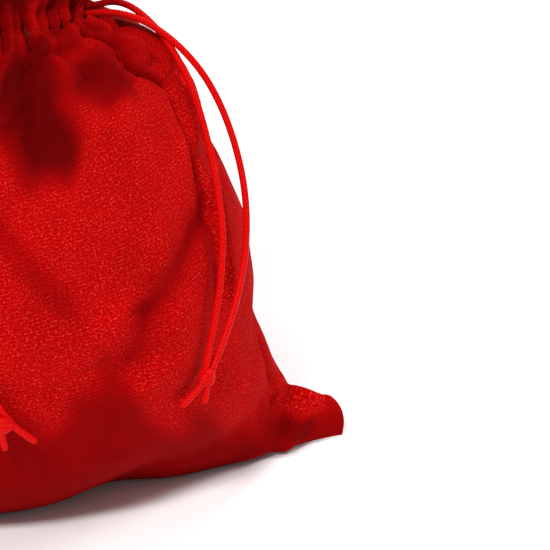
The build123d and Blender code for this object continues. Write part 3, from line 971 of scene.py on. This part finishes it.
def make_knot(name, hand, turn):
    """An overhand knot pulled tight: a tube along a trefoil, (2 + cos 3t) round twice while
    sin 3t goes up and down, squeezed to the knot's own box."""
    low, high = (np.array(corner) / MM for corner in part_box(f"{hand}_knot"))
    middle, half = (low + high) / 2, (high - low) / 2
    t = np.linspace(0, 2 * math.pi, 121)[:-1]
    loop = np.stack([
        (2 + np.cos(3 * t)) * np.cos(2 * t) / 3 * (half[0] - KNOT_STRAND),
        np.sin(3 * t) * (half[1] - KNOT_STRAND),
        (2 + np.cos(3 * t)) * np.sin(2 * t) / 3 * (half[2] - KNOT_STRAND)], axis=-1)
    spin = np.array([[math.cos(turn), 0, math.sin(turn)], [0, 1, 0], [-math.sin(turn), 0, math.cos(turn)]])
    loop = loop @ spin.T
    path = np.concatenate([loop, loop[:1]]) + middle
    mesh = tube_mesh(name, path, KNOT_STRAND, closed=True, sides=12)
    return add_piece(name, mesh, "satin_rattail", f"{hand}_loop", [f"{hand}_knot"])


def make_neck_ring(name, hand, height):
    """The stretch of cord hidden in the tunnel: it runs behind the gathers of both panels, in
    from the surface by its own place in the tunnel, and starts and ends at its side opening."""
    rows = []
    for side in (-1, 1):
        points, normals, across, _ = cloth_grid(side, 161, 3, CORD_LINE - 1, CORD_LINE + 1)
        row = (points - normals * RING_DEPTH)[1]
        row[:, 2] = height
        rows.append(row[np.abs(across[1]) < 0.93])
    path = np.concatenate([rows[0], rows[1][::-1]])
    if hand == "right":
        path = np.roll(path, -len(rows[0]), axis=0)
    for _ in range(12):
        path[1:-1] = (path[:-2] + 2 * path[1:-1] + path[2:]) / 4
    mesh = tube_mesh(name, path, sizes().cord / MM / 2, sides=8)
    return add_piece(name, mesh, "satin_rattail", "sack", [f"{hand}_cord_round_neck"])


# --- Operators ----------------------------------------------------------------------------------
class SACK_OT_stage(bpy.types.Operator):
    """Floor, soft studio light and camera"""
    bl_idname = "sack.stage"
    bl_label = "Stage"

    def execute(self, context):
        mesh = bpy.data.meshes.new("floor")
        corners = [(-1, -1, 0), (1, -1, 0), (1, 1, 0), (-1, 1, 0)]
        mesh.from_pydata([(x * FLOOR_REACH, y * FLOOR_REACH, z) for x, y, z in corners], [], [(0, 1, 2, 3)])
        floor = bpy.data.objects.new("floor", mesh)
        context.scene.collection.objects.link(floor)
        material, _, shader = new_material("studio_paper", Roughness=0.9, Specular_IOR_Level=0.1)
        shader.inputs["Base Color"].default_value = linear(colours().floor)
        mesh.materials.append(material)
        world = bpy.data.worlds.new("studio")
        world.use_nodes = True
        background = world.node_tree.nodes["Background"]
        background.inputs["Color"].default_value = (1, 1, 1, 1)
        background.inputs["Strength"].default_value = WORLD_LIGHT
        context.scene.world = world
        context.scene.view_settings.view_transform = "Standard"
        for name, place, size, power in LIGHTS:
            light = bpy.data.lights.new(name, "AREA")
            light.size = size
            light.energy = power
            lamp = bpy.data.objects.new(name, light)
            lamp.location = place
            towards = Vector(LIGHTS_AIM) - Vector(place)
            lamp.rotation_euler = towards.to_track_quat("-Z", "Y").to_euler()
            context.scene.collection.objects.link(lamp)
        azimuth, elevation = math.radians(CAMERA_AZIMUTH), math.radians(CAMERA_ELEVATION)
        looking = Vector((
            math.sin(azimuth) * math.cos(elevation), math.cos(azimuth) * math.cos(elevation),
            -math.sin(elevation)))
        aim = Vector(CAMERA_AIM) * MM
        data = bpy.data.cameras.new("camera")
        data.sensor_width = 36.0
        data.lens = data.sensor_width * CAMERA_DISTANCE / SEEN_WIDTH
        data.clip_start = 0.05
        camera = bpy.data.objects.new("camera", data)
        camera.location = aim - looking * CAMERA_DISTANCE
        camera.rotation_euler = looking.to_track_quat("-Z", "Y").to_euler()
        context.scene.collection.objects.link(camera)
        context.scene.camera = camera
        return {"FINISHED"}


class SACK_OT_cords(bpy.types.Operator):
    """Both drawstrings with their knots, and the stretch in the tunnel"""
    bl_idname = "sack.cords"
    bl_label = "Drawstrings"

    def execute(self, context):
        for hand, front, back, height, turn in (
            ("right", RIGHT_FRONT_ROUTE, RIGHT_BACK_ROUTE, RIGHT_PIVOT_Z, 0.4),
            ("left", LEFT_FRONT_ROUTE, LEFT_BACK_ROUTE, LEFT_PIVOT_Z, -0.5),
        ):
            knot = make_knot(f"{hand}_tied_knot", hand, turn)
            make_cord(f"{hand}_front_cord", front, hand, [
                f"{hand}_cord_front_leg", f"{hand}_long_tail", f"{hand}_cord_ends_in_opening"])
            make_cord(f"{hand}_back_cord", back, hand, [
                f"{hand}_cord_back_leg", f"{hand}_short_tail"])
            make_neck_ring(f"{hand}_neck_cord", hand, height)
        return {"FINISHED"}


class SACK_OT_velvet(bpy.types.Operator):
    """Front and back panels of velvet"""
    bl_idname = "sack.velvet"
    bl_label = "Velvet panels"

    def execute(self, context):
        make_panel(-1, "front")
        make_panel(1, "back")
        return {"FINISHED"}


class SACK_OT_stitching(bpy.types.Operator):
    """Stitch rows of the casing, and the sewing inside"""
    bl_idname = "sack.stitching"
    bl_label = "Stitching"

    def execute(self, context):
        for name, side in (("front", -1), ("back", 1)):
            stitch_row(f"{name}_lower_row", side, LOWER_ROW, [f"{name}_lower_stitches"])
            stitch_row(f"{name}_upper_row", side, UPPER_ROW, [f"{name}_upper_stitches"])
        for node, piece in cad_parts.items():
            if "allowance" in node:
                kind = "velvet_back"
            elif "thread" in node or "tack" in node:
                kind = "sewing_thread"
            else:
                continue
            piece.data.materials.clear()
            piece.data.materials.append(material_named(kind))
        return {"FINISHED"}


class SACK_PT_panel(bpy.types.Panel):
    """Buttons for the steps that build the sack"""
    bl_idname = "SACK_PT_panel"
    bl_label = "Gift Sack"
    bl_space_type = "VIEW_3D"
    bl_region_type = "UI"
    bl_category = "Gift Sack"

    def draw(self, context):
        for operator in OPERATORS:
            self.layout.operator(operator.bl_idname)


OPERATORS = (SACK_OT_stage, SACK_OT_cords, SACK_OT_velvet, SACK_OT_stitching)
CLASSES = (SackSizes, SackColours) + OPERATORS + (SACK_PT_panel,)


def register():
    for cls in CLASSES:
        bpy.utils.register_class(cls)
    bpy.types.Scene.sack_sizes = bpy.props.PointerProperty(type=SackSizes)
    bpy.types.Scene.sack_colours = bpy.props.PointerProperty(type=SackColours)


def unregister():
    del bpy.types.Scene.sack_colours
    del bpy.types.Scene.sack_sizes
    for cls in reversed(CLASSES):
        bpy.utils.unregister_class(cls)


def main():
    register()
    bpy.ops.sack.stage()
    bpy.ops.sack.cords()
    bpy.ops.sack.velvet()
    bpy.ops.sack.stitching()


if __name__ == "__main__":
    main()
